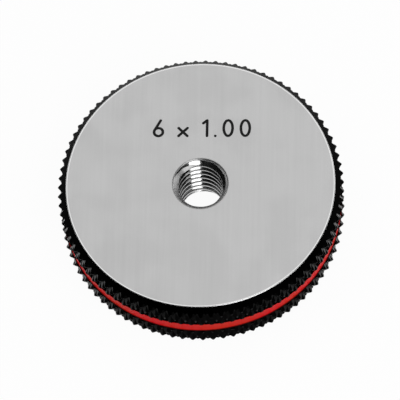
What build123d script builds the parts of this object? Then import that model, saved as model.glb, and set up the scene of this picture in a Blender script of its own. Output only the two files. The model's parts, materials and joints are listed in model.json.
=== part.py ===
from build123d import *
from math import cos, degrees, pi, radians, sin, sqrt, tan
import os

# NO-GO thread ring gauge for an M6 screw of 1 mm pitch, in millimetres.
# One hardened steel ring: two ground faces, a bevelled rim with a diamond knurl, and a
# threaded bore with a countersink at each mouth. A groove round the middle of the rim
# holds a ring of red lacquer, the mark of a NO-GO gauge.
# The origin is the centre of the bottom face and +Z is the axis of the thread.

# Ring
rim_diameter = 32.0  # over the points of the knurl
thickness = 8.0  # from face to face
bevel_width = 1.05  # radial, from each face's edge out to the rim
bevel_height = 1.1  # axial

# Thread. Its turns are too fine to model, so the bore is plain, at the thread's crests.
thread_diameter = 6.0  # nominal, to the roots of the thread
thread_pitch = 1.0
countersink_clearance = 0.1  # radial, of each mouth round the thread's roots
countersink_angle = 90.0  # included

# Diamond knurl: V grooves of two hands that cross and leave sharp points between them
knurl_pitch = 1.0  # between grooves of one hand, square to them
knurl_angle = 30.0  # of a groove to the axis
knurl_profile_angle = 90.0  # included angle of a groove
cutting_allowance = 0.04  # of the blank over the points, and of a cutter past what it cuts

# Red lacquer ring and the groove that it nearly fills
groove_width = 1.8
groove_depth = 1.0  # below the points of the knurl
lacquer_inset = 0.25  # of its two edges, below the points of the knurl
lacquer_dip = 0.12  # of its hollow face, at the middle

# Turned ring. An ISO metric thread is 5/8 as high as the sharp triangle on its pitch.
rim_radius = rim_diameter / 2
blank_radius = rim_radius + cutting_allowance
face_radius = rim_radius - bevel_width
bevel_slope = bevel_height / bevel_width
blank_bevel_height = (blank_radius - face_radius) * bevel_slope
thread_height = 5 / 8 * sqrt(3) / 2 * thread_pitch
core_radius = thread_diameter / 2 - thread_height
mouth_radius = thread_diameter / 2 + countersink_clearance
countersink_depth = (mouth_radius - core_radius) / tan(radians(countersink_angle / 2))
mid_height = thickness / 2
groove_bottom = mid_height - groove_width / 2
groove_top = mid_height + groove_width / 2

# Knurl. A band of points lies between each bevel and the groove. Half a step round from
# each knurl groove its flank meets the next one's at the rim.
tilt = radians(knurl_angle)
knurl_count = round(2 * pi * rim_radius * cos(tilt) / knurl_pitch)
half_step = pi / knurl_count
flank_slope = tan(radians(knurl_profile_angle / 2))
band_height = groove_bottom - bevel_height
band_offset = mid_height - (groove_bottom + bevel_height) / 2
knurl_depth = rim_radius * (1 - cos(half_step) + sin(half_step) * cos(tilt) / flank_slope)
knurl_root_radius = rim_radius - knurl_depth
groove_floor_radius = rim_radius - groove_depth
lacquer_radius = rim_radius - lacquer_inset

# Each cutter runs out into the groove at one end and, where the roots come out of the
# bevel, into the air at the other. Its square ends lean, which the overrun makes up for.
cutter_height = 2 * cutting_allowance
cutter_half_width = (knurl_depth + cutter_height) * flank_slope
overrun = cutter_half_width * sin(tilt) + cutting_allowance
reach_to_groove = (band_height / 2 + overrun) / cos(tilt)
reach_to_bevel = (band_height / 2 + knurl_depth * bevel_slope + overrun) / cos(tilt)

# Section through one side of the ring, before the groove and the knurl
with BuildPart() as blank:
    with BuildSketch(Plane.XZ):
        with BuildLine():
            Polyline(
                (core_radius, countersink_depth),
                (mouth_radius, 0),
                (face_radius, 0),
                (blank_radius, blank_bevel_height),
                (blank_radius, thickness - blank_bevel_height),
                (face_radius, thickness),
                (mouth_radius, thickness),
                (core_radius, thickness - countersink_depth),
                close=True,
            )
        make_face()
    revolve(axis=Axis.Z)


def knurl_cutter(hand, band):
    """One straight V cutter on the +X side: hand and band are each 1 or -1."""
    middle = (rim_radius, 0, mid_height + band * band_offset)
    to_groove = (0, -band * hand * sin(tilt), -band * cos(tilt))
    with BuildPart() as cutter:
        with BuildSketch(Plane(origin=middle, x_dir=(1, 0, 0), z_dir=to_groove)) as section:
            with BuildLine():
                Polyline(
                    (-knurl_depth, 0),
                    (cutter_height, cutter_half_width),
                    (cutter_height, -cutter_half_width),
                    close=True,
                )
            make_face()
        extrude(section.sketch, amount=reach_to_groove)
        extrude(section.sketch, amount=-reach_to_bevel)
    return cutter.part


# The ring. Both bands of one hand lie on the same helices, so each band's cutters are turned
# by the angle that a helix gains between the middle of the rim and the middle of the band.
with BuildPart() as gauge_ring:
    add(blank.part)
    with BuildSketch(Plane.XZ):
        with BuildLine():
            Polyline(
                (groove_floor_radius, groove_bottom),
                (blank_radius + cutting_allowance, groove_bottom),
                (blank_radius + cutting_allowance, groove_top),
                (groove_floor_radius, groove_top),
                close=True,
            )
        make_face()
    revolve(axis=Axis.Z, mode=Mode.SUBTRACT)
    helix_gain = degrees(band_offset * tan(tilt) / rim_radius)
    for hand in (1, -1):
        for band in (1, -1):
            first_groove = hand * band * helix_gain + degrees(half_step)
            with PolarLocations(0, knurl_count, start_angle=first_groove):
                add(knurl_cutter(hand, band), mode=Mode.SUBTRACT)

# The lacquer lies in the groove, and its hollow outer face meets the groove's walls between
# the points and the roots of the knurl
with BuildPart() as red_marking_ring:
    with BuildSketch(Plane.XZ):
        with BuildLine():
            Polyline(
                (lacquer_radius, groove_bottom),
                (groove_floor_radius, groove_bottom),
                (groove_floor_radius, groove_top),
                (lacquer_radius, groove_top),
            )
            ThreePointArc(
                (lacquer_radius, groove_top),
                (lacquer_radius - lacquer_dip, mid_height),
                (lacquer_radius, groove_bottom),
            )
        make_face()
    revolve(axis=Axis.Z)

gauge_ring.part.label = "gauge_ring"
red_marking_ring.part.label = "red_marking_ring"

os.makedirs("parts", exist_ok=True)
export_step(gauge_ring.part, "parts/gauge_ring.step")
export_step(red_marking_ring.part, "parts/red_marking_ring.step")
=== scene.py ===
import json
import logging
from dataclasses import dataclass
from enum import Enum, IntEnum
from itertools import chain
from math import atan, cos, pi, radians, sin, tan
from typing import ClassVar

import bpy
import numpy as np
from mathutils import Matrix, Vector
from mathutils.geometry import delaunay_2d_cdt
from numpy.typing import NDArray


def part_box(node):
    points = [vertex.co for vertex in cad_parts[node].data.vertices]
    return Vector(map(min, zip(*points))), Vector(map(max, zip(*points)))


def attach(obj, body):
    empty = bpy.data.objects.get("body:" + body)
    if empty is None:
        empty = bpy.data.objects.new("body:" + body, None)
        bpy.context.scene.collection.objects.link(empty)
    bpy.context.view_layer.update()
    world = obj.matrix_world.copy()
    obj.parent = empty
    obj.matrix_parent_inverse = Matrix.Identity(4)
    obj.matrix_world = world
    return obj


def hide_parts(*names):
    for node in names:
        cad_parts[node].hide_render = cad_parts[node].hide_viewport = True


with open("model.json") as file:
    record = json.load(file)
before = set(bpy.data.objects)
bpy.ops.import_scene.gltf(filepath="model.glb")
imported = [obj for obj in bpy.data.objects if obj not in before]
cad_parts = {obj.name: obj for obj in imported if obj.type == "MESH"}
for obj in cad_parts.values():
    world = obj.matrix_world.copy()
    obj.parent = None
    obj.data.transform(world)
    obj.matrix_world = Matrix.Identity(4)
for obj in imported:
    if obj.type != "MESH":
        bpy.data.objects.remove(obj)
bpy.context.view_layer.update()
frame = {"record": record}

# A NO-GO thread ring gauge: a ground and blackened steel ring with a diamond-knurled rim, a
# lapped thread, engraved figures and a ring of red lacquer. All lengths are in metres. The
# axis of the thread is Z, and the lower face lies on the floor at Z = 0.

LOG = logging.getLogger("thread_ring_gauge")
MM = 0.001
WELD_GRID = 1e-7
CREASE_ANGLE = radians(28)
OVAL_POINTS = 36
CAP_POINTS = 9

Array = NDArray[np.float64]
Indices = NDArray[np.int64]
Range = tuple[float, float]
Colour = tuple[float, float, float, float]
Socket = bpy.types.NodeSocket
Value = float | tuple[float, ...] | Socket
Inputs = dict[int | str, Value]


class Finish(IntEnum):
    """The finishes of the ring, in the order of its material slots."""

    GROUND_STEEL = 0
    BLACK_OXIDE = 1
    THREAD_STEEL = 2
    MARKING_ENAMEL = 3


class Loop(IntEnum):
    """What a closed loop of points on a face bounds."""

    FACE = 0
    HOLE = 1
    STROKE = 2
    COUNTER = 3


class End(Enum):
    """One end of the ring."""

    LOWER = "lower"
    UPPER = "upper"


# ---------------------------------------------------------------------------------- sizes


@dataclass(frozen=True)
class GaugeSizes:
    """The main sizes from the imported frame, and the finer ones of the gauge's make."""

    rim_radius: float
    thickness: float
    crest_radius: float
    lacquer_radius: float
    groove_half_width: float
    bevel_width: float = 1.05 * MM
    bevel_height: float = 1.1 * MM
    thread_radius: float = 3.0 * MM
    thread_pitch: float = 1.0 * MM
    mouth_radius: float = 3.1 * MM
    knurl_pitch: float = 1.0 * MM
    knurl_tilt: float = radians(30)
    lacquer_thickness: float = 0.75 * MM

    @property
    def middle(self) -> float:
        """Height of the middle of the rim."""
        return self.thickness / 2

    @property
    def face_radius(self) -> float:
        """Radius at which a ground face would meet its bevel in a sharp edge."""
        return self.rim_radius - self.bevel_width

    @classmethod
    def from_frame(cls, record: dict) -> "GaugeSizes":
        """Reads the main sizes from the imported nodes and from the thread's mount.

        Args:
            record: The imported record, with the part's mounts.

        Returns:
            The sizes of the gauge.
        """
        ring_low, ring_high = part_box("gauge_ring")
        lacquer_low, lacquer_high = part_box("red_marking_ring")
        mounts = {mount["name"]: mount for mount in record["mounts"]}
        return cls(
            rim_radius=min(ring_high.x, ring_high.y, -ring_low.x, -ring_low.y),
            thickness=ring_high.z - ring_low.z,
            crest_radius=mounts["gauging_thread"]["dims"]["r_mm"] * MM,
            lacquer_radius=lacquer_high.x,
            groove_half_width=(lacquer_high.z - lacquer_low.z) / 2,
        )


# ------------------------------------------------------------------------- mesh in arrays


def turned(radius: Array, height: Array, angle: Array) -> Array:
    """Points at a radius and a height, turned round Z: (r cos a, r sin a, z)."""
    radius, height, angle = np.broadcast_arrays(radius, height, angle)
    return np.stack((radius * np.cos(angle), radius * np.sin(angle), height), -1)


def steps_round(count: int) -> Array:
    """Angles of `count` even steps round a full turn, from 0."""
    return np.arange(count) * 2 * pi / count


@dataclass
class Surface:
    """Triangles on shared points, with one finish for each triangle."""

    points: Array
    triangles: Indices
    finishes: Indices

    @classmethod
    def from_grid(
        cls, grid: Array, centres: Array, finishes: Indices, rise: int = 0
    ) -> "Surface":
        """Makes triangles from rows of points that run round the axis and close.

        Each cell is cut along the diagonal whose middle lies nearer to the true surface
        in the middle of the cell, so that creases fall on edges of the mesh.

        Args:
            grid: Points as rows, columns and xyz. Columns run anticlockwise, and rows
                run up the bore or down the rim, which turns the front outwards.
            centres: The surface's true point in the middle of each cell.
            finishes: The finish of each row of cells, or of each cell.
            rise: By how many rows a row climbs as it comes round, on a helix.

        Returns:
            The surface. On a helix the last `rise` rows have no cells.
        """
        rows, columns = grid.shape[:2]
        index = np.arange(rows * columns).reshape(rows, columns)
        here = index[: rows - rise]
        following = np.concatenate((here[:, 1:], index[rise:, :1]), axis=1)
        a, b, c, d = here[:-1], here[1:], following[1:], following[:-1]
        points = grid.reshape(-1, 3)
        off_first = np.linalg.norm((points[a] + points[c]) / 2 - centres, axis=-1)
        off_second = np.linalg.norm((points[b] + points[d]) / 2 - centres, axis=-1)
        first_is_nearer = off_first <= off_second
        end = np.where(first_is_nearer, c, d)
        start = np.where(first_is_nearer, a, b)
        triangles = np.stack((np.stack((a, b, end), -1), np.stack((start, c, d), -1)))
        by_row = finishes.reshape(len(finishes), -1)
        cell_finishes = np.broadcast_to(by_row, off_first.shape).reshape(-1)
        return cls(points, triangles.reshape(-1, 3), np.tile(cell_finishes, 2))

    @classmethod
    def from_profile(cls, grid: Array, finish: int) -> "Surface":
        """Makes a surface of one finish from rows that are turned from a plain profile."""
        centres = (grid[:-1] + np.roll(grid[1:], -1, axis=1)) / 2
        return cls.from_grid(grid, centres, np.full(len(centres), finish))

    @classmethod
    def joined(cls, parts: list["Surface"]) -> "Surface":
        """Joins surfaces into one, and welds the points that they share.

        Points are compared in single precision, in which a face's triangulation gives
        them back, and the first of those that agree is kept.

        Args:
            parts: Surfaces whose borders have the same points.

        Returns:
            One surface without doubled points or collapsed triangles.
        """
        starts = np.cumsum([0] + [len(part.points) for part in parts[:-1]])
        points = np.concatenate([part.points for part in parts])
        triangles = np.concatenate([part.triangles + at for part, at in zip(parts, starts)])
        finishes = np.concatenate([part.finishes for part in parts])
        single = points.astype(np.float32).astype(np.float64)
        keys = np.round(single / WELD_GRID).astype(np.int64)
        _, first, welded = np.unique(keys, axis=0, return_index=True, return_inverse=True)
        triangles = welded.reshape(-1)[triangles]
        a, b, c = triangles.T
        kept = (a != b) & (b != c) & (c != a)
        return cls(points[first], triangles[kept], finishes[kept])

    def mirrored(self, middle: float) -> "Surface":
        """Returns the surface mirrored about the height `middle`, still facing outwards."""
        points = self.points * (1, 1, -1) + (0, 0, 2 * middle)
        return Surface(points, self.triangles[:, ::-1], self.finishes)

    def to_object(self, name: str, materials: list[bpy.types.Material]) -> bpy.types.Object:
        """Puts the surface into a new object at the origin.

        Args:
            name: Name of the object and of its mesh.
            materials: Materials in the order of the finishes.

        Returns:
            The object, flat on level faces and smooth between the creases elsewhere.
        """
        mesh = bpy.data.meshes.new(name)
        mesh.from_pydata(self.points.tolist(), [], self.triangles.tolist())
        for material in materials:
            mesh.materials.append(material)
        level = np.ptp(self.points[self.triangles][..., 2], axis=1) < WELD_GRID
        mesh.polygons.foreach_set("material_index", self.finishes.astype(np.int32))
        mesh.polygons.foreach_set("use_smooth", ~level)
        mesh.update()
        mesh.set_sharp_from_angle(angle=CREASE_ANGLE)
        piece = bpy.data.objects.new(name, mesh)
        bpy.context.scene.collection.objects.link(piece)
        return piece


# ------------------------------------------------------------------------------- the ring


@dataclass(frozen=True)
class KnurledRim:
    """The bevels, the knurl and the marking groove: everything outside the two faces."""

    sizes: GaugeSizes
    cells_per_tooth: int = 12
    edge_round: float = 0.15 * MM
    edge_rows: int = 5
    mouth_break: float = 0.03 * MM
    point_wear: float = 0.012 * MM
    lead_slope: float = 0.5
    lead_lip: float = 0.07 * MM
    halvings: int = 30

    @property
    def teeth(self) -> int:
        """Number of knurl grooves of one hand."""
        s = self.sizes
        return round(2 * pi * s.rim_radius * cos(s.knurl_tilt) / s.knurl_pitch)

    @property
    def angles(self) -> Array:
        """Angle of each column of the mesh."""
        return steps_round(self.teeth * self.cells_per_tooth)

    @property
    def bevel_rise(self) -> float:
        """How steeply the bevel's normal rises: the angle at which its edge arc ends."""
        return atan(self.sizes.bevel_width / self.sizes.bevel_height)

    @property
    def flat_radius(self) -> float:
        """Radius at which the flat of a face ends and its rounded edge begins."""
        rise, s = self.bevel_rise, self.sizes
        return s.face_radius + self.edge_round * ((1 - sin(rise)) * tan(rise) - cos(rise))

    def knurl_radius(self, angle: Array, offset: Array) -> Array:
        """Radius of the knurled surface.

        Two families of helical V grooves cross. With u and v the distances from the
        nearest groove of each hand, square to it, the surface stands min(u, v) over the
        grooves' bottoms, because their flanks slope at 45 degrees. Worn points are cut.

        Args:
            angle: Angles round the axis.
            offset: Distances from the middle of the rim, along the axis.

        Returns:
            The radius at each of them.
        """
        s = self.sizes
        turn = self.teeth / (2 * pi)
        lead = offset * tan(s.knurl_tilt) / s.rim_radius
        step = 2 * pi * s.rim_radius * cos(s.knurl_tilt) / self.teeth
        u, v = (np.abs((angle + way * lead) * turn % 1 - 0.5) * step for way in (1, -1))
        bottom = s.rim_radius - step / 2
        return np.minimum(bottom + np.minimum(u, v), s.rim_radius - self.point_wear)

    def bevel_radius(self, offset: Array) -> Array:
        """Radius of the bevel's cone at a distance `offset` from the middle."""
        s = self.sizes
        return s.face_radius + (s.middle - offset) * s.bevel_width / s.bevel_height

    def lead_radius(self, offset: Array) -> Array:
        """Radius of the cone that eases the teeth down to a lip over the lacquer."""
        lip = self.sizes.lacquer_radius + self.lead_lip
        return lip + (offset - self.sizes.groove_half_width) * self.lead_slope

    def outline_radius(self, angle: Array, offset: Array) -> Array:
        """Radius of the rim: the smallest of the knurl's, the bevel's and the lead's."""
        cones = np.minimum(self.bevel_radius(offset), self.lead_radius(offset))
        return np.minimum(self.knurl_radius(angle, offset), cones)

    def run_out(self, angle: Array) -> Array:
        """Finds where the knurl meets the bevel, by halving the bevel's height.

        Args:
            angle: Angles round the axis.

        Returns:
            The offset of the meeting line at each angle.
        """
        s = self.sizes
        low = np.full_like(angle, s.middle - s.bevel_height)
        high = np.full_like(angle, s.middle)
        for _ in range(self.halvings):
            offset = (low + high) / 2
            on_knurl = self.bevel_radius(offset) > self.knurl_radius(angle, offset)
            low, high = np.where(on_knurl, offset, low), np.where(on_knurl, high, offset)
        return (low + high) / 2

    def row_offsets(self, plain: float, mouth: float) -> Array:
        """Offsets of the rim's rows, from the bevel's edge down to the groove's mouth.

        The rows are spaced so that a knurl groove runs through the mesh's points corner
        to corner: one column to the side for each row down.

        Args:
            plain: Offset at which the bevel's cone begins.
            mouth: Offset at which the broken edge of the marking groove begins.

        Returns:
            The offsets, largest first.
        """
        s = self.sizes
        column = 2 * pi * s.rim_radius / (self.teeth * self.cells_per_tooth)
        row = column / tan(s.knurl_tilt)
        lattice = np.arange(int(plain / row), 0, -1) * row
        lattice = lattice[lattice > mouth + row / 4]
        return np.concatenate(([plain], lattice, [mouth]))

    def half(self) -> Surface:
        """Builds the upper half, from a face's edge to the middle of the groove's floor.

        The rim is the radius of the formula above at each angle and offset. Where the
        knurl meets the bevel, the nearest point of each column slides onto the meeting
        line. Over it lies the face's edge, an arc tangent to both, and under it the
        broken edge, the wall and the floor of the marking groove.

        Returns:
            The upper half of the rim.
        """
        s, angle = self.sizes, self.angles
        bend = np.linspace(pi / 2, self.bevel_rise, self.edge_rows + 1)
        edge_offset = s.middle - self.edge_round * (1 - np.sin(bend))
        edge_radius = self.flat_radius + self.edge_round * np.cos(bend)
        rows = self.row_offsets(edge_offset[-1], s.groove_half_width + self.mouth_break)
        offset = np.repeat(rows[:, None], len(angle), axis=1)
        meeting = self.run_out(angle)
        nearest = np.abs(offset - meeting).argmin(axis=0)
        offset[nearest, np.arange(len(angle))] = meeting
        radius = self.outline_radius(angle, offset)

        def level(*values: float) -> Array:
            """Rows that each have one radius or offset all round."""
            return np.repeat(np.array(values)[:, None], len(angle), axis=1)

        floor = s.lacquer_radius - s.lacquer_thickness
        lip = radius[-1:] - self.mouth_break
        radius = np.concatenate((level(*edge_radius[:-1]), radius, lip, level(floor, floor)))
        below = level(s.groove_half_width, s.groove_half_width, 0)
        offset = np.concatenate((level(*edge_offset[:-1]), offset, below))

        between = angle + pi / len(angle)
        centre_offset, centre_radius = (
            (v[:-1] + v[1:] + np.roll(v[:-1] + v[1:], -1, axis=1)) / 4 for v in (offset, radius)
        )
        formed = slice(self.edge_rows, self.edge_rows + len(rows) - 1)
        centre_radius[formed] = self.outline_radius(between, centre_offset[formed])
        finishes = np.full(len(radius) - 1, Finish.BLACK_OXIDE)
        finishes[: self.edge_rows] = Finish.GROUND_STEEL
        return Surface.from_grid(
            turned(radius, s.middle + offset, angle),
            turned(centre_radius, s.middle + centre_offset, between),
            finishes,
        )


@dataclass(frozen=True)
class ThreadedBore:
    """The internal thread and its two countersinks."""

    sizes: GaugeSizes
    columns: int = 120
    flank_rows: int = 5
    spare_turns: int = 2
    crest_round: float = 0.05 * MM
    crest_flat: float = 1 / 8
    root_flat: float = 1 / 16
    crease_gap: float = 0.02
    flank_angle: float = radians(30)
    mouth_round: float = 0.33 * MM
    mouth_rows: int = 5
    cone_angle: float = radians(45)

    @property
    def angles(self) -> Array:
        """Angle of each column of the mesh."""
        return steps_round(self.columns)

    @property
    def flat_radius(self) -> float:
        """Radius at which the flat of a face ends and the mouth's rounded edge begins."""
        return self.sizes.mouth_radius + self.mouth_round * tan(self.cone_angle / 2)

    @property
    def mouth_drop(self) -> float:
        """Depth below the face at which the rounded edge runs into the countersink."""
        return self.mouth_round * (1 - cos(self.cone_angle))

    def row_phases(self) -> Array:
        """Sets the places of the rows within one pitch, closest at the creases.

        Returns:
            The places, from 0 at the middle of one crest to 1 at the next.
        """
        crest, root, gap = self.crest_flat, 0.5 - self.root_flat, self.crease_gap
        flank = np.linspace(crest + gap, root - gap, self.flank_rows)
        half = np.concatenate(([crest - gap, crest], flank, [root]))
        return np.concatenate(([0], half, [0.5], 1 - half[::-1]))

    def thread_radius(self, angle: Array, height: Array) -> Array:
        """Radius of the thread: a right-hand helix that climbs one pitch in each turn.

        With d the distance along the axis from the middle of the nearest crest, the
        profile is flat to an eighth of the pitch, opens with a flank at 30 degrees to
        the radius, and is flat again at the bottom. The crest's edges are a little round.

        Args:
            angle: Angles round the axis.
            height: Heights over the lower face.

        Returns:
            The radius at each of them.
        """
        s = self.sizes
        phase = (height / s.thread_pitch - angle / (2 * pi)) % 1
        past_crest = np.minimum(phase, 1 - phase) - self.crest_flat
        opened = past_crest * s.thread_pitch / tan(self.flank_angle)
        rounded = (opened + np.sqrt(opened**2 + self.crest_round**2)) / 2
        return s.crest_radius + np.minimum(rounded, s.thread_radius - s.crest_radius)

    def cone_radius(self, height: Array) -> Array:
        """Radius of a countersink: a cone at 45 degrees that starts at the face."""
        depth = self.sizes.middle - np.abs(height - self.sizes.middle)
        return self.sizes.mouth_radius - depth

    def radius(self, angle: Array, height: Array) -> Array:
        """Radius of the bore: the thread's or the countersink's, whichever is larger."""
        return np.maximum(self.cone_radius(height), self.thread_radius(angle, height))

    def surface(self) -> Surface:
        """Builds the bore from face to face.

        Its rows follow the helix, so that a row which comes round has climbed one pitch,
        and joins there the row that starts at that height. Rows that start under the
        ring or end over it collapse onto the mouths, where the weld removes them.

        Returns:
            The thread, the countersinks and the rounded edges of both mouths.
        """
        s, angle = self.sizes, self.angles
        phases = self.row_phases()
        spare = self.spare_turns
        turns = np.arange(-spare, round(s.thickness / s.thread_pitch) + spare)
        start = (turns[:, None] + phases).reshape(-1, 1) * s.thread_pitch
        climb = angle * s.thread_pitch / (2 * pi)
        low, high = self.mouth_drop, s.thickness - self.mouth_drop

        height = np.clip(start + climb, low, high)
        grid = turned(self.radius(angle, height), height, angle)
        between = angle + pi / self.columns
        centre = (start[:-1] + start[1:]) / 2 + climb + s.thread_pitch / (2 * self.columns)
        centre = np.clip(centre[: len(start) - len(phases) - 1], low, high)
        centres = turned(self.radius(between, centre), centre, between)
        on_cone = self.cone_radius(centre) > self.thread_radius(between, centre)
        finishes = np.where(on_cone, Finish.GROUND_STEEL, Finish.THREAD_STEEL)
        bore = Surface.from_grid(grid, centres, finishes, rise=len(phases))
        upper = self.mouth()
        return Surface.joined([bore, upper, upper.mirrored(s.middle)])

    def mouth(self) -> Surface:
        """Builds the upper mouth's rounded edge: an arc tangent to the cone and the face.

        Returns:
            The edge, from the countersink to the flat of the face.
        """
        bend = np.linspace(self.cone_angle, 0, self.mouth_rows + 1)[:, None]
        radius = self.flat_radius - self.mouth_round * np.sin(bend)
        height = self.sizes.thickness - self.mouth_round * (1 - np.cos(bend))
        return Surface.from_profile(turned(radius, height, self.angles), Finish.GROUND_STEEL)


@dataclass(frozen=True)
class Stroke:
    """One engraved stroke with round ends, along a path on the face."""

    path: Array
    closed: bool = False

    @classmethod
    def oval(cls, centre: Array, half_width: float, half_height: float) -> "Stroke":
        """Returns a closed stroke on an ellipse: centre + (w cos t, h sin t)."""
        t = steps_round(OVAL_POINTS)[:, None]
        return cls(centre + np.hstack((half_width * np.cos(t), half_height * np.sin(t))), True)

    @classmethod
    def line(cls, *ends: tuple[float, float]) -> "Stroke":
        """Returns an open stroke along the straight run between two points."""
        return cls(np.array(ends, float))

    def outlines(self, width: float) -> list[Array]:
        """Outlines of the stroke as cut by a round tool.

        A closed stroke has an outer and an inner outline, half the width from its path
        along its normals. An open stroke has two sides and two half circles.

        Args:
            width: Width of the tool.

        Returns:
            The outer outline, anticlockwise, and then the inner one if there is a hole.
        """
        if self.closed:
            ahead = np.roll(self.path, -1, axis=0) - np.roll(self.path, 1, axis=0)
            ahead /= np.linalg.norm(ahead, axis=1)[:, None]
            outward = np.stack((ahead[:, 1], -ahead[:, 0]), -1)
            return [self.path + outward * width / 2, self.path - outward * width / 2]
        along = self.path[1] - self.path[0]
        heading = np.arctan2(along[1], along[0])
        swing = np.linspace(-pi / 2, pi / 2, CAP_POINTS) + heading
        cap = np.stack((np.cos(swing), np.sin(swing)), -1) * width / 2
        return [np.concatenate((self.path[1] + cap, self.path[0] - cap))]


@dataclass(frozen=True)
class SizeMarking:
    """Plain engraved figures for the thread's diameter and pitch, in single strokes."""

    figures: str = "6 x 1.00"
    cap_height: float = 2.25 * MM
    stroke_width: float = 0.31 * MM
    depth: float = 0.08 * MM
    baseline: float = 5.74 * MM
    left: float = -5.45 * MM
    letter_gap: float = 0.62 * MM
    word_gap: float = 1.45 * MM
    digit_width: float = 1.3 * MM
    narrow_width: float = 0.75 * MM
    stem_reach: float = 1.45
    flag_drop: float = 0.8

    def advance(self, figure: str) -> float:
        """Width of one figure from the outside of its strokes."""
        narrow = {"1": self.narrow_width, ".": self.stroke_width}
        return narrow.get(figure, self.digit_width)

    def drawn(self, figure: str, left: float) -> list[Stroke]:
        """Draws one figure with paths that lie half a stroke inside its outside.

        A nought is an oval. A six is a round bowl with a straight stem, tangent to the
        bowl's left side. The cross is as high as it is wide, and stands on the baseline.
        A full stop is a stroke so short that only its round ends show.

        Args:
            figure: The figure to draw.
            left: Where the outside of its strokes begins.

        Returns:
            The strokes of the figure.
        """
        half = self.stroke_width / 2
        x0, x1 = left + half, left + self.advance(figure) - half
        y0, y1 = self.baseline + half, self.baseline + self.cap_height - half
        across, bowl = (x0 + x1) / 2, (x1 - x0) / 2
        match figure:
            case "0":
                return [Stroke.oval((across, (y0 + y1) / 2), bowl, (y1 - y0) / 2)]
            case "6":
                centre = np.array((across, y0 + bowl))
                top = np.array((x0 + self.stem_reach * bowl, y1))
                to_top = top - centre
                reach = np.hypot(*to_top)
                turn = np.arctan2(to_top[1], to_top[0]) + np.arccos(bowl / reach)
                tangent = centre + bowl * np.array((cos(turn), sin(turn)))
                return [Stroke.oval(centre, bowl, bowl), Stroke.line(tangent, top)]
            case "x":
                high = y0 + x1 - x0
                return [Stroke.line((x0, y0), (x1, high)), Stroke.line((x0, high), (x1, y0))]
            case "1":
                flag = (x0, y1 - self.flag_drop * (x1 - x0))
                return [Stroke.line((x1, y0), (x1, y1)), Stroke.line(flag, (x1, y1))]
            case _:
                return [Stroke.line((x0, y0), (x0 + WELD_GRID, y0))]

    def strokes(self) -> list[Stroke]:
        """Sets the figures side by side.

        Returns:
            The strokes of all figures.
        """
        strokes, left = [], self.left
        for word in self.figures.split():
            for figure in word:
                strokes += self.drawn(figure, left)
                left += self.advance(figure) + self.letter_gap
            left += self.word_gap - self.letter_gap
        return strokes


@dataclass(frozen=True)
class GroundFace:
    """A flat ground face between its rim and the mouth of the bore, with its marking."""

    sizes: GaugeSizes
    rim: KnurledRim
    bore: ThreadedBore
    marking: SizeMarking
    tolerance: float = 1e-9

    def surface(self, end: End) -> Surface:
        """Builds one face as a Delaunay triangulation between its circles and outlines.

        A triangle belongs to the face if it lies within the rim and not in the bore, and
        to the engraving if it lies in a stroke and not in the counter of one.

        Args:
            end: The end of the ring that the face is at. The upper one is engraved.

        Returns:
            The face with its engraving, facing outwards.
        """
        rim = turned(self.rim.flat_radius, 0, self.rim.angles)[:, :2]
        mouth = turned(self.bore.flat_radius, 0, self.bore.angles)[:, :2]
        loops, kinds = [rim, mouth], [Loop.FACE, Loop.HOLE]
        for stroke in self.marking.strokes() if end is End.UPPER else []:
            outlines = stroke.outlines(self.marking.stroke_width)
            loops += outlines
            kinds += [Loop.STROKE, Loop.COUNTER][: len(outlines)]
        given = np.concatenate(loops)
        ends = np.cumsum([len(loop) for loop in loops])
        polygons = [loop.tolist() for loop in np.split(np.arange(len(given)), ends[:-1])]
        found = delaunay_2d_cdt(given.tolist(), [], polygons, 0, self.tolerance)
        flat, _, faces, _, _, sources = found
        inside = np.zeros((len(faces), len(Loop)), bool)
        owner = np.repeat(np.arange(len(faces)), np.fromiter(map(len, sources), int))
        loop_of = np.fromiter(chain.from_iterable(sources), int)
        inside[owner, np.array(kinds)[loop_of]] = True
        held = inside[:, Loop.FACE] & ~inside[:, Loop.HOLE]
        cut = inside[:, Loop.STROKE] & ~inside[:, Loop.COUNTER]
        points = np.insert(np.array(flat), 2, self.sizes.thickness, axis=1)
        upper = self.engraved(points, np.array(faces)[held], cut[held])
        return upper if end is End.UPPER else upper.mirrored(self.sizes.middle)

    def engraved(self, points: Array, triangles: Indices, cut: NDArray[np.bool_]) -> Surface:
        """Lowers the cut triangles to the engraving's depth and closes it with walls.

        A wall stands on each edge of a cut triangle that no other runs along backwards.

        Args:
            points: Points of the flat face.
            triangles: Triangles of the face, anticlockwise from above.
            cut: Which of the triangles are engraved.

        Returns:
            The engraved face.
        """
        count = len(points)
        floor = triangles[cut] + count
        corners = [np.roll(triangles[cut], -first, axis=1) for first in range(3)]
        edges = np.concatenate(corners)[:, :2]
        border = ~np.isin(edges @ (count, 1), edges @ (1, count))
        i, j = edges[border].T
        low_i, low_j = i + count, j + count
        walls = np.concatenate((np.stack((i, j, low_j), -1), np.stack((i, low_j, low_i), -1)))
        lowered = points - (0, 0, self.marking.depth)
        parts = (triangles[~cut], floor, walls)
        finish = (Finish.GROUND_STEEL, Finish.MARKING_ENAMEL, Finish.MARKING_ENAMEL)
        return Surface(
            np.concatenate((points, lowered)),
            np.concatenate(parts),
            np.repeat(finish, [len(part) for part in parts]),
        )


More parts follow.
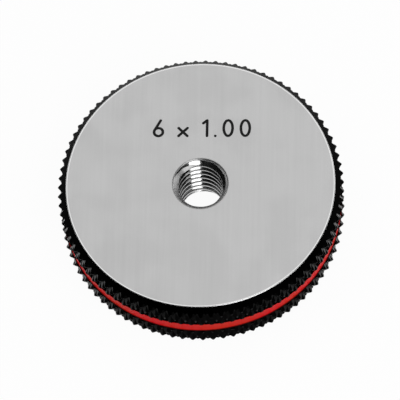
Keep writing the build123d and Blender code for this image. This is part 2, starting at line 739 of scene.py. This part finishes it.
@dataclass(frozen=True)
class GaugeRing:
    """The one-piece steel ring."""

    sizes: GaugeSizes

    def build(self, materials: list[bpy.types.Material]) -> bpy.types.Object:
        """Joins rim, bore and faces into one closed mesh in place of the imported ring.

        Args:
            materials: Materials in the order of the finishes.

        Returns:
            The ring.
        """
        s = self.sizes
        rim, bore = KnurledRim(s), ThreadedBore(s)
        face = GroundFace(s, rim, bore, SizeMarking())
        half = rim.half()
        parts = [half, half.mirrored(s.middle), bore.surface()]
        parts += [face.surface(end) for end in End]
        ring = Surface.joined(parts).to_object("steel_ring", materials)
        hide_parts("gauge_ring")
        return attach(ring, "root")


@dataclass(frozen=True)
class LacquerRing:
    """The red lacquer that fills the marking groove."""

    sizes: GaugeSizes
    columns: int = 720
    rows: int = 36
    dip: float = 0.12 * MM
    edge_power: int = 30
    ripple: float = 0.012 * MM
    waves: tuple[tuple[float, int, float], ...] = ((1.0, 5, 0.7), (0.6, 13, 0.0), (0.4, 31, 0.0))
    bite: float = 0.004 * MM

    def build(self, material: bpy.types.Material) -> bpy.types.Object:
        """Turns a closed profile round the axis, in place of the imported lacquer.

        The front is hollow and climbs the groove's walls as a liquid does: its radius is
        the edge's less dip (1 - w^30), with w from -1 to 1 across the groove, and it
        swells and thins slightly in waves of (height, number, phase) round the ring.
        Floor and sides bite a little into the steel, so that no faces coincide.

        Args:
            material: The lacquer.

        Returns:
            The lacquer's ring.
        """
        s, angle = self.sizes, steps_round(self.columns)
        across = np.linspace(1, -1, self.rows + 1)[:, None]
        uneven = sum(share * np.sin(count * angle + phase) for share, count, phase in self.waves)
        dip = self.dip + self.ripple * uneven
        front = s.lacquer_radius - self.bite - dip * (1 - across**self.edge_power)
        floor = np.full((1, self.columns), s.lacquer_radius - s.lacquer_thickness - self.bite)
        radius = np.concatenate((floor, front, floor, floor))
        side = s.groove_half_width + self.bite
        height = s.middle + side * np.concatenate(([[1]], across, [[-1]], [[1]]))
        surface = Surface.from_profile(turned(radius, height, angle), 0)
        ring = Surface.joined([surface]).to_object("lacquer_ring", [material])
        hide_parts("red_marking_ring")
        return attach(ring, "root")


# -------------------------------------------------------------------------------- finishes


class Nodes:
    """A node tree that is filled one node at a time, each joined as it is added."""

    def __init__(self, tree: bpy.types.NodeTree) -> None:
        """Takes the tree to fill."""
        self.tree = tree

    def fill(self, node: bpy.types.Node, inputs: Inputs) -> bpy.types.Node:
        """Gives inputs of a node their values or sockets.

        Args:
            node: The node.
            inputs: A value or a socket for each input that is set.

        Returns:
            The same node.
        """
        for key, value in inputs.items():
            if isinstance(value, Socket):
                self.tree.links.new(value, node.inputs[key])
            else:
                node.inputs[key].default_value = value
        return node

    def add(self, kind: str, inputs: Inputs | None = None, **settings: object) -> bpy.types.Node:
        """Adds one node.

        Args:
            kind: The node's type, without its prefix.
            inputs: A value or a socket for each input that is set.
            **settings: Properties of the node.

        Returns:
            The node.
        """
        node = self.tree.nodes.new("ShaderNode" + kind)
        for name, value in settings.items():
            setattr(node, name, value)
        return self.fill(node, inputs or {})

    def math(self, operation: str, *values: Value) -> Socket:
        """Adds a Math node and returns its result."""
        return self.add("Math", dict(enumerate(values)), operation=operation).outputs[0]

    def vector(self, operation: str, *values: Value, output: int = 0) -> Socket:
        """Adds a Vector Math node and returns its result."""
        inputs = dict(enumerate(values))
        return self.add("VectorMath", inputs, operation=operation).outputs[output]

    def mix(self, factor: Value, a: Value, b: Value) -> Socket:
        """Adds a colour Mix node and returns its result."""
        return self.add("Mix", {0: factor, 6: a, 7: b}, data_type="RGBA").outputs[2]

    def span(
        self,
        value: Value,
        zone: Range,
        result: tuple[Value, Value] = (0.0, 1.0),
        course: str = "SMOOTHSTEP",
    ) -> Socket:
        """Adds a Map Range from one range to another and returns its result."""
        inputs = dict(enumerate((value, *zone, *result)))
        return self.add("MapRange", inputs, interpolation_type=course).outputs[0]

    def noise(self, vector: Value, scale: float, detail: float) -> Socket:
        """Adds a Noise Texture and returns its value."""
        inputs = {"Vector": vector, "Scale": scale, "Detail": detail}
        return self.add("TexNoise", inputs).outputs[0]

    def bump(self, height: Socket, strength: float, depth: float) -> Socket:
        """Adds a Bump node for relief of a depth in metres and returns its normal."""
        inputs = {"Height": height, "Strength": strength, "Distance": depth}
        return self.add("Bump", inputs).outputs[0]

    def group(self, tree: bpy.types.ShaderNodeTree, inputs: Inputs) -> Socket:
        """Places a node group, sets its inputs and returns its first output."""
        return self.fill(self.add("Group", node_tree=tree), inputs).outputs[0]

    def split(self, vector: Socket) -> tuple[Socket, ...]:
        """The x, y and z of a vector."""
        return tuple(self.add("SeparateXYZ", {0: vector}).outputs)

    def join(self, *parts: Value) -> Socket:
        """The vector with these parts, and 0 for those that are left out."""
        return self.add("CombineXYZ", dict(enumerate(parts))).outputs[0]

    def place(self) -> Socket:
        """Object coordinates in millimetres."""
        where = self.add("TexCoord").outputs["Object"]
        return self.vector("MULTIPLY", where, (1 / MM, 1 / MM, 1 / MM))

    def radius(self, place: Socket) -> Socket:
        """Distance of a place from the axis."""
        x, y, _ = self.split(place)
        return self.vector("LENGTH", self.join(x, y), output=1)

    def unrolled(self, place: Socket) -> Socket:
        """(radius, height, angle) of a place, for marks that run round the axis."""
        x, y, z = self.split(place)
        return self.join(self.radius(place), z, self.math("ARCTAN2", y, x))


@dataclass(frozen=True)
class SharedEffects:
    """The node groups that several finishes use."""

    marks: bpy.types.ShaderNodeTree
    blotches: bpy.types.ShaderNodeTree

    FINE_SHARE: ClassVar[float] = 0.6
    BROAD_SCALE: ClassVar[float] = 0.23
    NOISE_SPREAD: ClassVar[Range] = (0.3, 0.7)

    @staticmethod
    def empty_group(
        name: str, floats: dict[str, float], output: str
    ) -> tuple[Nodes, bpy.types.Node, bpy.types.Node]:
        """Starts a group that has a Vector input, other inputs and one output.

        Args:
            name: Name of the group.
            floats: The other inputs and what they are until a material sets them.
            output: Name of the output.

        Returns:
            The group's nodes, its input node and its output node.
        """
        tree = bpy.data.node_groups.new(name, "ShaderNodeTree")
        new_socket = tree.interface.new_socket
        new_socket("Vector", in_out="INPUT", socket_type="NodeSocketVector")
        for label, value in floats.items():
            socket = new_socket(label, in_out="INPUT", socket_type="NodeSocketFloat")
            socket.default_value = value
        new_socket(output, in_out="OUTPUT", socket_type="NodeSocketFloat")
        given, result = (tree.nodes.new("NodeGroup" + side) for side in ("Input", "Output"))
        return Nodes(tree), given, result

    @classmethod
    def build(cls) -> "SharedEffects":
        """Builds both groups once."""
        return cls(cls.fine_marks(), cls.soft_blotches())

    @classmethod
    def fine_marks(cls) -> bpy.types.ShaderNodeTree:
        """Builds the tool marks: two sizes of noise, drawn out along the third direction.

        Vector is in millimetres across the marks first. Marks are Width wide and Length
        long, and their height runs from 0 to 1 about a mean of a half.

        Returns:
            The group.
        """
        sides = {"Width": 0.1, "Length": 10.0}
        nodes, given, result = cls.empty_group("fine_marks", sides, "Marks")
        across, along = (nodes.math("DIVIDE", 1.0, given.outputs[side]) for side in sides)
        stretch = nodes.join(across, across, along)
        drawn = nodes.vector("MULTIPLY", given.outputs["Vector"], stretch)
        fine = nodes.noise(drawn, 1.0, 2.0)
        broad = nodes.noise(drawn, cls.BROAD_SCALE, 1.0)
        broad = nodes.math("MULTIPLY", broad, 1 - cls.FINE_SHARE)
        marks = nodes.math("MULTIPLY_ADD", fine, cls.FINE_SHARE, broad)
        nodes.fill(result, {"Marks": marks})
        return nodes.tree

    @classmethod
    def soft_blotches(cls) -> bpy.types.ShaderNodeTree:
        """Builds the marks of handling: soft noise of a given Size, spread over 0 to 1.

        Returns:
            The group.
        """
        nodes, given, result = cls.empty_group("soft_blotches", {"Size": 3.0}, "Blotches")
        scale = nodes.math("DIVIDE", 1.0, given.outputs["Size"])
        value = nodes.noise(given.outputs["Vector"], scale, 3.0)
        nodes.fill(result, {"Blotches": nodes.span(value, cls.NOISE_SPREAD)})
        return nodes.tree

    def tool_marks(self, nodes: Nodes, place: Socket, size: Range) -> Socket:
        """Places the tool marks, with their width and length in millimetres."""
        width, length = size
        return nodes.group(self.marks, {"Vector": place, "Width": width, "Length": length})

    def spots(self, nodes: Nodes, place: Socket, size: float) -> Socket:
        """Places the marks of handling, with their size in millimetres."""
        return nodes.group(self.blotches, {"Vector": place, "Size": size})


def grey(level: float) -> Colour:
    """An opaque neutral colour."""
    return (level, level, level, 1.0)


@dataclass(frozen=True)
class SurfaceFinish:
    """What all finishes share. Lengths are in millimetres, apart from the gauge's own."""

    sizes: GaugeSizes
    name: str = "plain"
    mark_size: Range = (0.1, 1.0)
    spot_size: float = 1.0
    roughness: Range = (0.3, 0.4)
    relief: float = 0.2
    relief_depth: float = 0.002

    EVEN: ClassVar[Inputs] = {"Metallic": 1.0}

    def material(self, effects: SharedEffects) -> bpy.types.Material:
        """Makes the material from what is even all over and what varies.

        Args:
            effects: The shared node groups.

        Returns:
            The material.
        """
        material = bpy.data.materials.new(self.name)
        material.use_nodes = True
        nodes = Nodes(material.node_tree)
        shader = material.node_tree.nodes["Principled BSDF"]
        nodes.fill(shader, self.EVEN | self.varying(nodes, nodes.place(), effects))
        return material

    def varying(self, nodes: Nodes, place: Socket, effects: SharedEffects) -> Inputs:
        """Adds what changes over the surface.

        Args:
            nodes: The material's nodes.
            place: Object coordinates in millimetres.
            effects: The shared node groups.

        Returns:
            The Principled BSDF's inputs that vary.
        """
        raise NotImplementedError

    def finished(self, nodes: Nodes, colour: Socket, rough: Socket, height: Socket) -> Inputs:
        """The inputs for a colour, a roughness and the height of the relief."""
        normal = nodes.bump(height, self.relief, self.relief_depth * MM)
        return {"Base Color": colour, "Roughness": rough, "Normal": normal}


@dataclass(frozen=True)
class GroundSteel(SurfaceFinish):
    """Hardened steel, surface-ground to a satin with long fine streaks, edge polished and
    lightened by a painted highlight.
    """

    name: str = "ground_steel"
    mark_size: Range = (0.09, 7.0)
    band_size: Range = (0.3, 9.0)
    spot_size: float = 5.0
    roughness: Range = (0.33, 0.38)
    relief: float = 0.25
    steel: float = 0.56
    streak_contrast: float = 0.045
    streak_spread: Range = (0.6, 1.4)
    # The band round the face's edge: a painted highlight in its colour, and polish in its
    # roughness.
    highlight_steel: float = 0.85
    edge_inset: Range = (0.15, 0.10)
    edge_polish: float = 0.12

    def varying(self, nodes: Nodes, place: Socket, effects: SharedEffects) -> Inputs:
        """Adds streaks along Y and a band round the face's edge: polish in the roughness, a
        painted highlight in the colour.

        Args:
            nodes: The material's nodes.
            place: Object coordinates in millimetres.
            effects: The shared node groups.

        Returns:
            The Principled BSDF's inputs that vary.
        """
        x, y, z = nodes.split(place)
        across = nodes.join(x, z, y)
        marks = effects.tool_marks(nodes, across, self.mark_size)
        bands = effects.tool_marks(nodes, across, self.band_size)
        spots = effects.spots(nodes, place, self.spot_size)
        start, end = (self.sizes.face_radius / MM - inset for inset in self.edge_inset)
        edge = nodes.span(nodes.radius(place), (start, end))
        swing = self.streak_contrast / 2
        both = nodes.math("ADD", marks, bands)
        shades = (self.steel - swing, self.steel + swing)
        level = nodes.span(both, self.streak_spread, shades, "LINEAR")
        # The band round the edge is lighter in colour, a painted highlight; its lower roughness
        # is the polish.
        colour = nodes.mix(edge, nodes.join(level, level, level), grey(self.highlight_steel))
        rough = nodes.span(spots, (0.0, 1.0), self.roughness)
        rough = nodes.math("SUBTRACT", rough, nodes.math("MULTIPLY", edge, self.edge_polish))
        return self.finished(nodes, colour, rough, marks)


@dataclass(frozen=True)
class BlackOxide(SurfaceFinish):
    """Blackened steel with a thin oil film, thinner on the worn points of the knurl.

    The faces that look down are painted a lighter dark grey, a painted sheen that lets the
    knurl's diamonds show.
    """

    name: str = "black_oxide"
    mark_size: Range = (0.06, 0.4)
    spot_size: float = 0.7
    roughness: Range = (0.2, 0.28)
    relief: float = 0.15
    black: float = 0.0005
    # Painted sheen: the grey of the faces that look down, and the slope of normals over which it
    # fades in.
    sheen_grey: float = 0.07
    sheen_slope: Range = (-0.32, -0.22)
    worn_steel: float = 0.04
    wear_depth: Range = (0.16, 0.01)
    wear_uneven: float = 0.06

    EVEN: ClassVar[Inputs] = {"Metallic": 1.0, "Specular Tint": grey(0.62)}

    def varying(self, nodes: Nodes, place: Socket, effects: SharedEffects) -> Inputs:
        """Adds turning marks round the bevels, a painted sheen on the faces that look down, and
        the worn places.

        Args:
            nodes: The material's nodes.
            place: Object coordinates in millimetres.
            effects: The shared node groups.

        Returns:
            The Principled BSDF's inputs that vary.
        """
        marks = effects.tool_marks(nodes, nodes.unrolled(place), self.mark_size)
        spots = effects.spots(nodes, place, self.spot_size)
        uneven = nodes.math("MULTIPLY", nodes.math("SUBTRACT", 0.5, spots), self.wear_uneven)
        reach = nodes.math("ADD", nodes.radius(place), uneven)
        start, end = (self.sizes.rim_radius / MM - depth for depth in self.wear_depth)
        worn = nodes.span(reach, (start, end))
        # Painted sheen: faces whose normal looks down get a lighter grey than the rest of the
        # oxide.
        upward = nodes.split(nodes.add("TexCoord").outputs["Normal"])[2]
        painted_sheen = nodes.span(upward, self.sheen_slope, (1.0, 0.0))
        oxide = nodes.mix(painted_sheen, grey(self.black), grey(self.sheen_grey))
        colour = nodes.mix(worn, oxide, grey(self.worn_steel))
        return self.finished(nodes, colour, nodes.span(spots, (0.0, 1.0), self.roughness), marks)


@dataclass(frozen=True)
class ThreadSteel(SurfaceFinish):
    """Lapped steel, nearly polished, with fine marks that follow the thread."""

    name: str = "thread_steel"
    mark_size: Range = (0.05, 1.2)
    roughness: Range = (0.11, 0.17)
    steel: float = 0.5
    contrast: float = 0.06

    def varying(self, nodes: Nodes, place: Socket, effects: SharedEffects) -> Inputs:
        """Adds lapping marks round the bore.

        Args:
            nodes: The material's nodes.
            place: Object coordinates in millimetres.
            effects: The shared node groups.

        Returns:
            The Principled BSDF's inputs that vary.
        """
        marks = effects.tool_marks(nodes, nodes.unrolled(place), self.mark_size)
        spots = effects.spots(nodes, place, self.spot_size)
        dark, light = grey(self.steel - self.contrast), grey(self.steel + self.contrast)
        rough = nodes.span(spots, (0.0, 1.0), self.roughness)
        return self.finished(nodes, nodes.mix(marks, dark, light), rough, marks)


@dataclass(frozen=True)
class MarkingEnamel(SurfaceFinish):
    """Black enamel wiped into the engraving."""

    name: str = "marking_enamel"
    spot_size: float = 0.3
    roughness: Range = (0.4, 0.6)
    blacks: Range = (0.003, 0.008)

    EVEN: ClassVar[Inputs] = {"Specular IOR Level": 0.2}

    def varying(self, nodes: Nodes, place: Socket, effects: SharedEffects) -> Inputs:
        """Adds a little unevenness to the colour and the gloss.

        Args:
            nodes: The material's nodes.
            place: Object coordinates in millimetres.
            effects: The shared node groups.

        Returns:
            The Principled BSDF's inputs that vary.
        """
        spots = effects.spots(nodes, place, self.spot_size)
        colour = nodes.mix(spots, *(grey(level) for level in self.blacks))
        rough = nodes.span(spots, (0.0, 1.0), self.roughness)
        return {"Base Color": colour, "Roughness": rough}


@dataclass(frozen=True)
class RedLacquer(SurfaceFinish):
    """Signal-red lacquer, brushed on, thinner in places, and darkened along its edges by painted
    shade.
    """

    name: str = "red_lacquer"
    mark_size: Range = (0.15, 0.3)
    spot_size: float = 4.0
    roughness: Range = (0.3, 0.42)
    mark_spread: Range = (0.3, 0.7)
    relief: float = 0.3
    relief_depth: float = 0.008
    full: Colour = (0.60, 0.006, 0.010, 1.0)
    thin: Colour = (0.56, 0.018, 0.009, 1.0)
    # Painted shade along the lacquer's edges: how far in it reaches, and how dark it gets.
    edge_shade: float = 0.18
    edge_shade_level: float = 0.002

    EVEN: ClassVar[Inputs] = {"Specular IOR Level": 0.02}

    def varying(self, nodes: Nodes, place: Socket, effects: SharedEffects) -> Inputs:
        """Adds brush marks round the ring, and painted shade along both of its edges.

        Args:
            nodes: The material's nodes.
            place: Object coordinates in millimetres.
            effects: The shared node groups.

        Returns:
            The Principled BSDF's inputs that vary.
        """
        marks = effects.tool_marks(nodes, nodes.unrolled(place), self.mark_size)
        red = nodes.mix(effects.spots(nodes, place, self.spot_size), self.full, self.thin)
        height = nodes.math("SUBTRACT", nodes.split(place)[2], self.sizes.middle / MM)
        edge = self.sizes.groove_half_width / MM
        off_middle = nodes.math("ABSOLUTE", height)
        # Painted shade: the lacquer darkens to near black in the corners where it meets the
        # groove's walls.
        edge_shaded = nodes.span(off_middle, (edge - self.edge_shade, edge))
        colour = nodes.mix(edge_shaded, red, grey(self.edge_shade_level))
        rough = nodes.span(marks, self.mark_spread, self.roughness)
        return self.finished(nodes, colour, rough, marks)


# --------------------------------------------------------------------------------- studio


@dataclass(frozen=True)
class Softbox:
    """A rectangular lamp that is aimed at the gauge."""

    name: str
    place: tuple[float, float, float]
    size: tuple[float, float]
    watts: float

    def build(self) -> None:
        """Adds the lamp."""
        lamp = bpy.data.lights.new(self.name, "AREA")
        lamp.shape, lamp.energy = "RECTANGLE", self.watts
        lamp.size, lamp.size_y = self.size
        stand = bpy.data.objects.new(self.name, lamp)
        stand.location = self.place
        stand.visible_camera = False
        stand.rotation_mode = "QUATERNION"
        stand.rotation_quaternion = (-Vector(self.place)).to_track_quat("-Z", "Y")
        bpy.context.scene.collection.objects.link(stand)


@dataclass(frozen=True)
class Studio:
    """A white paper floor under a dome with a soft glow overhead and dark flags around."""

    floor_size: float = 6.0
    paper: float = 0.85
    backdrop_share: float = 0.95
    floor_gap: float = 0.02 * MM
    glow_direction: tuple[float, float, float] = (0.0, 0.43, 0.903)
    glow_level: float = 1.0
    glow_edge: Range = (0.74, 0.93)
    flag_level: float = 0.005
    fill_level: float = 0.6
    horizon: float = 0.2
    softboxes: tuple[Softbox, ...] = (
        Softbox("front", (0.18, -0.30, 0.49), (0.25, 0.16), 0.4),
        Softbox("front_right", (0.274, -0.351, 0.227), (0.5, 0.26), 0.53),
        Softbox("right", (0.466, 0.147, 0.104), (0.41, 0.22), 0.17),
    )

    def build(self) -> None:
        """Builds the floor, the dome and the lamps."""
        self.floor()
        self.dome()
        for softbox in self.softboxes:
            softbox.build()

    @staticmethod
    def backdrop_rays(nodes: Nodes) -> Socket:
        """Finds the rays that see the background: the camera's, and those off gloss.

        Args:
            nodes: The nodes of the floor or of the world.

        Returns:
            1 for those rays and 0 for the others.
        """
        path = nodes.add("LightPath").outputs
        seen = nodes.math("MAXIMUM", path["Is Camera Ray"], path["Is Glossy Ray"])
        return nodes.math("MAXIMUM", seen, path["Is Transmission Ray"])

    def floor(self) -> None:
        """Adds the floor: paper that keeps a shadow and shows as nearly pure white."""
        half, low = self.floor_size / 2, -self.floor_gap
        mesh = bpy.data.meshes.new("floor")
        square = [(-half, -half), (half, -half), (half, half), (-half, half)]
        corners = [(x, y, low) for x, y in square]
        mesh.from_pydata(corners, [], [(0, 1, 2, 3)])
        floor = bpy.data.objects.new("floor", mesh)
        bpy.context.scene.collection.objects.link(floor)
        material = bpy.data.materials.new("white_paper")
        material.use_nodes = True
        nodes = Nodes(material.node_tree)
        nodes.tree.nodes.remove(nodes.tree.nodes["Principled BSDF"])
        paper = nodes.add("BsdfDiffuse", {"Color": grey(self.paper)}).outputs[0]
        white = nodes.add("Emission", {"Strength": 1.0}).outputs[0]
        share = nodes.math("MULTIPLY", self.backdrop_rays(nodes), self.backdrop_share)
        mixed = nodes.add("MixShader", {0: share, 1: paper, 2: white}).outputs[0]
        nodes.fill(nodes.tree.nodes["Material Output"], {"Surface": mixed})
        mesh.materials.append(material)

    def dome(self) -> None:
        """Sets the world: a glow high behind the gauge, over a white band at the horizon."""
        world = bpy.data.worlds.new("studio_dome")
        world.use_nodes = True
        nodes = Nodes(world.node_tree)
        direction = nodes.add("TexCoord").outputs["Generated"]
        nearness = nodes.vector("DOT_PRODUCT", direction, self.glow_direction, output=1)
        gloss = nodes.add("LightPath").outputs["Is Glossy Ray"]
        dim = nodes.span(gloss, (0.0, 1.0), (self.fill_level, self.flag_level))
        glow = nodes.span(nearness, self.glow_edge, (dim, self.glow_level))
        band = nodes.math("LESS_THAN", nodes.split(direction)[2], self.horizon)
        shown = nodes.math("MULTIPLY", band, self.backdrop_rays(nodes))
        light = nodes.math("MAXIMUM", glow, shown)
        background = nodes.tree.nodes["Background"]
        nodes.fill(background, {"Color": grey(1.0), "Strength": light})
        bpy.context.scene.world = world


@dataclass(frozen=True)
class ProductCamera:
    """A long lens that looks steeply down on the gauge, a little from its right."""

    azimuth: float = radians(6.2)
    elevation: float = radians(64.24)
    roll: float = radians(5.73)
    distance: float = 0.4
    sensor: float = 36.0
    image: float = 400.0
    pixels_per_mm: float = 9.0
    face_centre: tuple[float, float] = (200.27, 183.48)
    clip: tuple[float, float] = (0.01, 20.0)

    def build(self, target: Vector) -> None:
        """Adds the camera so that the face's centre shows at its pixel of the image.

        Args:
            target: The middle of the upper face.
        """
        a, e, roll = self.azimuth, self.elevation, self.roll
        back = Vector((sin(a) * cos(e), -cos(a) * cos(e), sin(e)))
        level = Vector((cos(a), sin(a), 0))
        rise = back.cross(level)
        right = cos(roll) * level - sin(roll) * rise
        up = sin(roll) * level + cos(roll) * rise
        off_x = (self.face_centre[0] - self.image / 2) / self.pixels_per_mm * MM
        off_y = (self.image / 2 - self.face_centre[1]) / self.pixels_per_mm * MM
        location = target + back * self.distance
        forward = (target - right * off_x - up * off_y - location).normalized()
        right = forward.cross(up).normalized()
        axes = Matrix((right, right.cross(forward), -forward)).transposed().to_4x4()
        data = bpy.data.cameras.new("product_camera")
        data.sensor_width = self.sensor
        data.lens = self.pixels_per_mm * self.distance / MM * self.sensor / self.image
        data.clip_start, data.clip_end = self.clip
        camera = bpy.data.objects.new("product_camera", data)
        camera.matrix_world = Matrix.Translation(location) @ axes
        bpy.context.scene.collection.objects.link(camera)
        bpy.context.scene.camera = camera


def main() -> None:
    """Builds the gauge, its finishes, the studio and the camera, and logs each piece's triangle
    count.
    """
    logging.basicConfig(level=logging.INFO, format="%(name)s: %(message)s")
    sizes = GaugeSizes.from_frame(frame["record"])
    effects = SharedEffects.build()
    finishes = (GroundSteel, BlackOxide, ThreadSteel, MarkingEnamel)
    materials = [finish(sizes).material(effects) for finish in finishes]
    pieces = [
        GaugeRing(sizes).build(materials),
        LacquerRing(sizes).build(RedLacquer(sizes).material(effects)),
    ]
    for piece in pieces:
        LOG.info("%s: %d triangles", piece.name, len(piece.data.polygons))
    Studio().build()
    ProductCamera().build(Vector((0, 0, sizes.thickness)))
    bpy.context.scene.view_settings.view_transform = "Standard"


if __name__ == "__main__":
    main()
